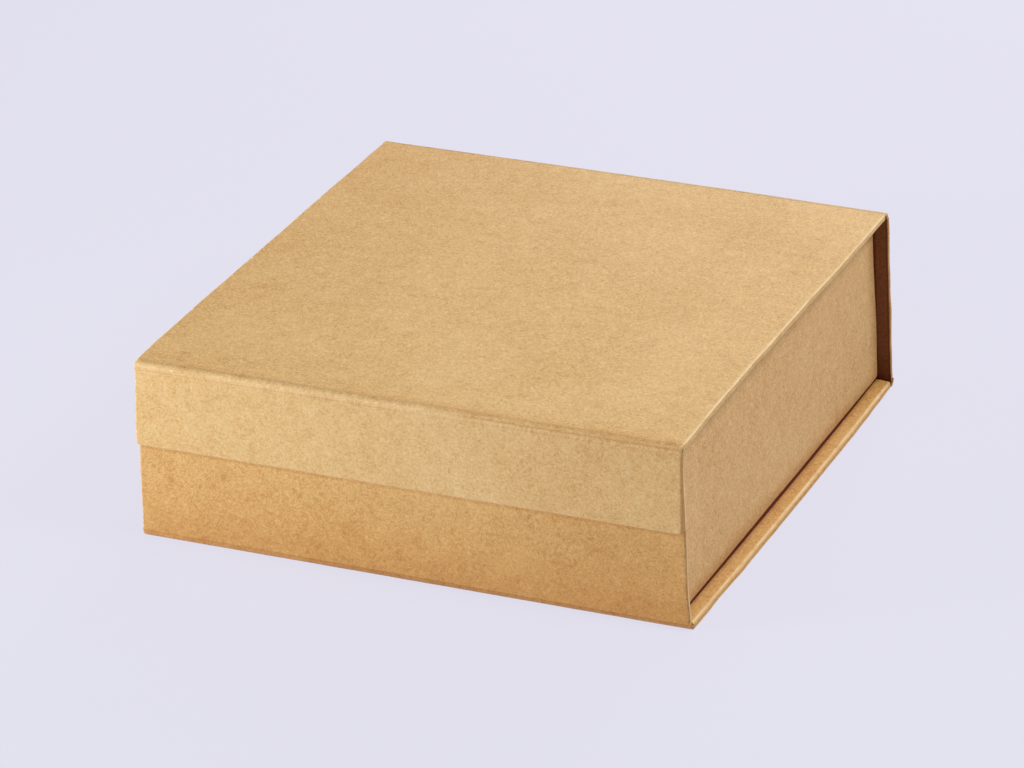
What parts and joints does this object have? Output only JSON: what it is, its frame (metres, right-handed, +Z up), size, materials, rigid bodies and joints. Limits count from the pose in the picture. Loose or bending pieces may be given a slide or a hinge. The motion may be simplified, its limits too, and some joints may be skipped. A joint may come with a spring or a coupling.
{
  "type": "magnetic flap gift box",
  "caption": "Closed flat-pack gift box of kraft-wrapped board: the lid hinges at the back and its front flap drops over the front wall, where magnets hold it.",
  "frame": {"origin": "middle of the footprint, on the surface that the closed box stands on", "axes": "+Z up, +X to the right seen from the front, +Y from the front flap towards the back panel, where the lid hinges"},
  "size_m": [0.226, 0.2352, 0.077],
  "materials": {
    "kraft_wrap": "matte",
    "lining_paper": "matte",
    "clear_tape": "satin",
    "nickel": "satin"
  },
  "bodies": {
    "tray": {"base_panel": "kraft_wrap", "front_wall": "kraft_wrap", "back_panel": "kraft_wrap", "base_front_fold": "kraft_wrap", "base_back_fold": "kraft_wrap", "lid_back_fold": "kraft_wrap", "left_wall": "kraft_wrap", "right_wall": "kraft_wrap", "left_front_tab": "kraft_wrap", "left_back_tab": "kraft_wrap", "right_front_tab": "kraft_wrap", "right_back_tab": "kraft_wrap", "left_front_tape": "clear_tape", "left_back_tape": "clear_tape", "right_front_tape": "clear_tape", "right_back_tape": "clear_tape", "left_wall_strip": "lining_paper", "right_wall_strip": "lining_paper", "tray_lining": "lining_paper", "left_keeper": "nickel", "right_keeper": "nickel"},
    "lid": {"lid_panel": "kraft_wrap", "lid_front_fold": "kraft_wrap", "lid_lining": "lining_paper"},
    "flap": {"flap_panel": "kraft_wrap", "flap_lining": "lining_paper", "left_magnet": "nickel", "right_magnet": "nickel"}
  },
  "joints": [
    {"name": "lid_hinge", "type": "hinge", "parent": "tray", "child": "lid", "pos_m": [0, 0.1169, 0.07635], "axis": [-1, 0, 0], "range_deg": [0, 175]},
    {"name": "flap_hinge", "type": "hinge", "parent": "lid", "child": "flap", "pos_m": [0, -0.1169, 0.07635], "axis": [-1, 0, 0], "range_deg": [0, 175]}
  ]
}
